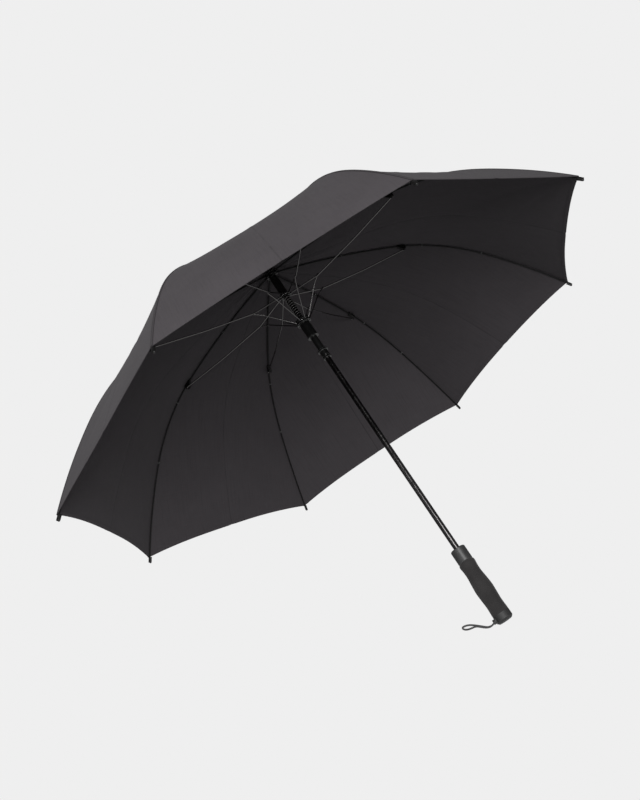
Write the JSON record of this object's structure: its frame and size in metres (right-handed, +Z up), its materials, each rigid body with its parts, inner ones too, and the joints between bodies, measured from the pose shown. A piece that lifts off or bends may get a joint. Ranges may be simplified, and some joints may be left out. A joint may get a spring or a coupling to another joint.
{
  "type": "golf umbrella",
  "caption": "Large stick umbrella with a domed panelled canopy on a folding rib frame, sliding runners with a main spring, steel shaft and straight foam grip.",
  "frame": {"origin": "centre of the handle's flat end face", "axes": "+Z up the shaft to the ferrule; +X along rib 1; the release button faces +Y; the wrist cord leaves on -X"},
  "size_m": [1.2208, 1.2208, 0.936],
  "materials": {
    "canopy_fabric": "matt black woven polyester",
    "shaft_paint": "satin dark grey paint on steel tube",
    "rib_paint": "satin black rod",
    "wire_paint": "satin black wire",
    "steel_wire": "bright drawn wire",
    "spring_steel": "black oxide spring steel",
    "foam": "matt EVA foam",
    "cord": "braided black cord",
    "black_plastic": "satin black moulded plastic"
  },
  "bodies": {
    "shaft": {"shaft_tube": "shaft_paint", "notch_pin": "steel_wire", "top_notch": "black_plastic", "notch_wire": "steel_wire", "top_cap": "black_plastic", "ferrule": "black_plastic", "handle_core": "black_plastic", "foam_grip": "foam", "handle_collar": "black_plastic", "end_cap": "black_plastic", "button_spring": "steel_wire", "gore_1": "canopy_fabric", "gore_2": "canopy_fabric", "gore_3": "canopy_fabric", "gore_4": "canopy_fabric", "gore_5": "canopy_fabric", "gore_6": "canopy_fabric", "gore_7": "canopy_fabric", "gore_8": "canopy_fabric"},
    "upper_runner": {"upper_runner": "black_plastic", "upper_runner_wire": "steel_wire", "opening_spring": "spring_steel"},
    "lower_runner": {"lower_runner": "black_plastic", "lower_runner_wire": "steel_wire"},
    "push_button": {"push_button": "black_plastic"},
    "wrist_cord": {"wrist_cord": "cord"},
    "rib_inner_1": {"rib_inner_1": "rib_paint"},
    "rib_outer_1": {"rib_outer_1": "rib_paint"},
    "stretcher_1": {"stretcher_1": "wire_paint"},
    "strut_1": {"strut_1": "wire_paint"},
    "rib_inner_2": {"rib_inner_2": "rib_paint"},
    "rib_outer_2": {"rib_outer_2": "rib_paint"},
    "stretcher_2": {"stretcher_2": "wire_paint"},
    "strut_2": {"strut_2": "wire_paint"},
    "rib_inner_3": {"rib_inner_3": "rib_paint"},
    "rib_outer_3": {"rib_outer_3": "rib_paint"},
    "stretcher_3": {"stretcher_3": "wire_paint"},
    "strut_3": {"strut_3": "wire_paint"},
    "rib_inner_4": {"rib_inner_4": "rib_paint"},
    "rib_outer_4": {"rib_outer_4": "rib_paint"},
    "stretcher_4": {"stretcher_4": "wire_paint"},
    "strut_4": {"strut_4": "wire_paint"},
    "rib_inner_5": {"rib_inner_5": "rib_paint"},
    "rib_outer_5": {"rib_outer_5": "rib_paint"},
    "stretcher_5": {"stretcher_5": "wire_paint"},
    "strut_5": {"strut_5": "wire_paint"},
    "rib_inner_6": {"rib_inner_6": "rib_paint"},
    "rib_outer_6": {"rib_outer_6": "rib_paint"},
    "stretcher_6": {"stretcher_6": "wire_paint"},
    "strut_6": {"strut_6": "wire_paint"},
    "rib_inner_7": {"rib_inner_7": "rib_paint"},
    "rib_outer_7": {"rib_outer_7": "rib_paint"},
    "stretcher_7": {"stretcher_7": "wire_paint"},
    "strut_7": {"strut_7": "wire_paint"},
    "rib_inner_8": {"rib_inner_8": "rib_paint"},
    "rib_outer_8": {"rib_outer_8": "rib_paint"},
    "stretcher_8": {"stretcher_8": "wire_paint"},
    "strut_8": {"strut_8": "wire_paint"}
  },
  "joints": [
    {"name": "lower_runner_slide", "type": "slide", "parent": "shaft", "child": "lower_runner", "axis": [0, 0, 1], "range_m": [-0.48206, 0], "deforming": ["opening_spring", "gore_1", "gore_2", "gore_3", "gore_4", "gore_5", "gore_6", "gore_7", "gore_8"]},
    {"name": "upper_runner_slide", "type": "slide", "parent": "shaft", "child": "upper_runner", "axis": [0, 0, 1], "range_m": [-0.53681, 0]},
    {"name": "rib_1_fold", "type": "hinge", "parent": "shaft", "child": "rib_inner_1", "pos_m": [0.0105, 0, 0.857], "axis": [0, -1, 0], "range_deg": [-76.87, 0]},
    {"name": "rib_1_flex", "type": "hinge", "parent": "rib_inner_1", "child": "rib_outer_1", "pos_m": [0.308, 0, 0.8022], "axis": [0, -1, 0], "range_deg": [0, 26.49]},
    {"name": "stretcher_1_turn", "type": "hinge", "parent": "upper_runner", "child": "stretcher_1", "pos_m": [0.0108, 0.0047, 0.795], "axis": [0, -1, 0], "range_deg": [0, 88.33]},
    {"name": "strut_1_turn", "type": "hinge", "parent": "lower_runner", "child": "strut_1", "pos_m": [0.0145, 0.0018, 0.723], "axis": [0, -1, 0], "range_deg": [0, 42.39]},
    {"name": "rib_2_fold", "type": "hinge", "parent": "shaft", "child": "rib_inner_2", "pos_m": [0.00742, 0.00742, 0.857], "axis": [0.7071, -0.7071, 0], "range_deg": [-76.87, 0]},
    {"name": "rib_2_flex", "type": "hinge", "parent": "rib_inner_2", "child": "rib_outer_2", "pos_m": [0.21779, 0.21779, 0.8022], "axis": [0.7071, -0.7071, 0], "range_deg": [0, 26.49]},
    {"name": "stretcher_2_turn", "type": "hinge", "parent": "upper_runner", "child": "stretcher_2", "pos_m": [0.00431, 0.01096, 0.795], "axis": [0.7071, -0.7071, 0], "range_deg": [0, 88.33]},
    {"name": "strut_2_turn", "type": "hinge", "parent": "lower_runner", "child": "strut_2", "pos_m": [0.00898, 0.01153, 0.723], "axis": [0.7071, -0.7071, 0], "range_deg": [0, 42.39]},
    {"name": "rib_3_fold", "type": "hinge", "parent": "shaft", "child": "rib_inner_3", "pos_m": [0, 0.0105, 0.857], "axis": [1, 0, 0], "range_deg": [-76.87, 0]},
    {"name": "rib_3_flex", "type": "hinge", "parent": "rib_inner_3", "child": "rib_outer_3", "pos_m": [0, 0.308, 0.8022], "axis": [1, 0, 0], "range_deg": [0, 26.49]},
    {"name": "stretcher_3_turn", "type": "hinge", "parent": "upper_runner", "child": "stretcher_3", "pos_m": [-0.0047, 0.0108, 0.795], "axis": [1, 0, 0], "range_deg": [0, 88.33]},
    {"name": "strut_3_turn", "type": "hinge", "parent": "lower_runner", "child": "strut_3", "pos_m": [-0.0018, 0.0145, 0.723], "axis": [1, 0, 0], "range_deg": [0, 42.39]},
    {"name": "rib_4_fold", "type": "hinge", "parent": "shaft", "child": "rib_inner_4", "pos_m": [-0.00742, 0.00742, 0.857], "axis": [0.7071, 0.7071, 0], "range_deg": [-76.87, 0]},
    {"name": "rib_4_flex", "type": "hinge", "parent": "rib_inner_4", "child": "rib_outer_4", "pos_m": [-0.21779, 0.21779, 0.8022], "axis": [0.7071, 0.7071, 0], "range_deg": [0, 26.49]},
    {"name": "stretcher_4_turn", "type": "hinge", "parent": "upper_runner", "child": "stretcher_4", "pos_m": [-0.01096, 0.00431, 0.795], "axis": [0.7071, 0.7071, 0], "range_deg": [0, 88.33]},
    {"name": "strut_4_turn", "type": "hinge", "parent": "lower_runner", "child": "strut_4", "pos_m": [-0.01153, 0.00898, 0.723], "axis": [0.7071, 0.7071, 0], "range_deg": [0, 42.39]},
    {"name": "rib_5_fold", "type": "hinge", "parent": "shaft", "child": "rib_inner_5", "pos_m": [-0.0105, 0, 0.857], "axis": [0, 1, 0], "range_deg": [-76.87, 0]},
    {"name": "rib_5_flex", "type": "hinge", "parent": "rib_inner_5", "child": "rib_outer_5", "pos_m": [-0.308, 0, 0.8022], "axis": [0, 1, 0], "range_deg": [0, 26.49]},
    {"name": "stretcher_5_turn", "type": "hinge", "parent": "upper_runner", "child": "stretcher_5", "pos_m": [-0.0108, -0.0047, 0.795], "axis": [0, 1, 0], "range_deg": [0, 88.33]},
    {"name": "strut_5_turn", "type": "hinge", "parent": "lower_runner", "child": "strut_5", "pos_m": [-0.0145, -0.0018, 0.723], "axis": [0, 1, 0], "range_deg": [0, 42.39]},
    {"name": "rib_6_fold", "type": "hinge", "parent": "shaft", "child": "rib_inner_6", "pos_m": [-0.00742, -0.00742, 0.857], "axis": [-0.7071, 0.7071, 0], "range_deg": [-76.87, 0]},
    {"name": "rib_6_flex", "type": "hinge", "parent": "rib_inner_6", "child": "rib_outer_6", "pos_m": [-0.21779, -0.21779, 0.8022], "axis": [-0.7071, 0.7071, 0], "range_deg": [0, 26.49]},
    {"name": "stretcher_6_turn", "type": "hinge", "parent": "upper_runner", "child": "stretcher_6", "pos_m": [-0.00431, -0.01096, 0.795], "axis": [-0.7071, 0.7071, 0], "range_deg": [0, 88.33]},
    {"name": "strut_6_turn", "type": "hinge", "parent": "lower_runner", "child": "strut_6", "pos_m": [-0.00898, -0.01153, 0.723], "axis": [-0.7071, 0.7071, 0], "range_deg": [0, 42.39]},
    {"name": "rib_7_fold", "type": "hinge", "parent": "shaft", "child": "rib_inner_7", "pos_m": [0, -0.0105, 0.857], "axis": [-1, 0, 0], "range_deg": [-76.87, 0]},
    {"name": "rib_7_flex", "type": "hinge", "parent": "rib_inner_7", "child": "rib_outer_7", "pos_m": [0, -0.308, 0.8022], "axis": [-1, 0, 0], "range_deg": [0, 26.49]},
    {"name": "stretcher_7_turn", "type": "hinge", "parent": "upper_runner", "child": "stretcher_7", "pos_m": [0.0047, -0.0108, 0.795], "axis": [-1, 0, 0], "range_deg": [0, 88.33]},
    {"name": "strut_7_turn", "type": "hinge", "parent": "lower_runner", "child": "strut_7", "pos_m": [0.0018, -0.0145, 0.723], "axis": [-1, 0, 0], "range_deg": [0, 42.39]},
    {"name": "rib_8_fold", "type": "hinge", "parent": "shaft", "child": "rib_inner_8", "pos_m": [0.00742, -0.00742, 0.857], "axis": [-0.7071, -0.7071, 0], "range_deg": [-76.87, 0]},
    {"name": "rib_8_flex", "type": "hinge", "parent": "rib_inner_8", "child": "rib_outer_8", "pos_m": [0.21779, -0.21779, 0.8022], "axis": [-0.7071, -0.7071, 0], "range_deg": [0, 26.49]},
    {"name": "stretcher_8_turn", "type": "hinge", "parent": "upper_runner", "child": "stretcher_8", "pos_m": [0.01096, -0.00431, 0.795], "axis": [-0.7071, -0.7071, 0], "range_deg": [0, 88.33]},
    {"name": "strut_8_turn", "type": "hinge", "parent": "lower_runner", "child": "strut_8", "pos_m": [0.01153, -0.00898, 0.723], "axis": [-0.7071, -0.7071, 0], "range_deg": [0, 42.39]},
    {"name": "button_press", "type": "slide", "parent": "shaft", "child": "push_button", "axis": [0, -1, 0], "range_m": [0, 0.0022], "stiffness_N_per_m": 300, "deforming": ["button_spring"]},
    {"name": "cord_swing", "type": "hinge", "parent": "shaft", "child": "wrist_cord", "pos_m": [-0.0194, 0, 0.0085], "axis": [0, 1, 0], "range_deg": [-60, 60]}
  ],
  "couplings": [
    {"joint": "upper_runner_slide", "follows": "lower_runner_slide", "ratio": 1.1134},
    {"joint": "rib_1_fold", "follows": "lower_runner_slide", "rad_per_m": 2.7827},
    {"joint": "rib_1_flex", "follows": "lower_runner_slide", "rad_per_m": -0.95876},
    {"joint": "stretcher_1_turn", "follows": "lower_runner_slide", "rad_per_m": -3.1975},
    {"joint": "strut_1_turn", "follows": "lower_runner_slide", "rad_per_m": -1.5343},
    {"joint": "rib_2_fold", "follows": "lower_runner_slide", "rad_per_m": 2.7827},
    {"joint": "rib_2_flex", "follows": "lower_runner_slide", "rad_per_m": -0.95876},
    {"joint": "stretcher_2_turn", "follows": "lower_runner_slide", "rad_per_m": -3.1975},
    {"joint": "strut_2_turn", "follows": "lower_runner_slide", "rad_per_m": -1.5343},
    {"joint": "rib_3_fold", "follows": "lower_runner_slide", "rad_per_m": 2.7827},
    {"joint": "rib_3_flex", "follows": "lower_runner_slide", "rad_per_m": -0.95876},
    {"joint": "stretcher_3_turn", "follows": "lower_runner_slide", "rad_per_m": -3.1975},
    {"joint": "strut_3_turn", "follows": "lower_runner_slide", "rad_per_m": -1.5343},
    {"joint": "rib_4_fold", "follows": "lower_runner_slide", "rad_per_m": 2.7827},
    {"joint": "rib_4_flex", "follows": "lower_runner_slide", "rad_per_m": -0.95876},
    {"joint": "stretcher_4_turn", "follows": "lower_runner_slide", "rad_per_m": -3.1975},
    {"joint": "strut_4_turn", "follows": "lower_runner_slide", "rad_per_m": -1.5343},
    {"joint": "rib_5_fold", "follows": "lower_runner_slide", "rad_per_m": 2.7827},
    {"joint": "rib_5_flex", "follows": "lower_runner_slide", "rad_per_m": -0.95876},
    {"joint": "stretcher_5_turn", "follows": "lower_runner_slide", "rad_per_m": -3.1975},
    {"joint": "strut_5_turn", "follows": "lower_runner_slide", "rad_per_m": -1.5343},
    {"joint": "rib_6_fold", "follows": "lower_runner_slide", "rad_per_m": 2.7827},
    {"joint": "rib_6_flex", "follows": "lower_runner_slide", "rad_per_m": -0.95876},
    {"joint": "stretcher_6_turn", "follows": "lower_runner_slide", "rad_per_m": -3.1975},
    {"joint": "strut_6_turn", "follows": "lower_runner_slide", "rad_per_m": -1.5343},
    {"joint": "rib_7_fold", "follows": "lower_runner_slide", "rad_per_m": 2.7827},
    {"joint": "rib_7_flex", "follows": "lower_runner_slide", "rad_per_m": -0.95876},
    {"joint": "stretcher_7_turn", "follows": "lower_runner_slide", "rad_per_m": -3.1975},
    {"joint": "strut_7_turn", "follows": "lower_runner_slide", "rad_per_m": -1.5343},
    {"joint": "rib_8_fold", "follows": "lower_runner_slide", "rad_per_m": 2.7827},
    {"joint": "rib_8_flex", "follows": "lower_runner_slide", "rad_per_m": -0.95876},
    {"joint": "stretcher_8_turn", "follows": "lower_runner_slide", "rad_per_m": -3.1975},
    {"joint": "strut_8_turn", "follows": "lower_runner_slide", "rad_per_m": -1.5343}
  ]
}
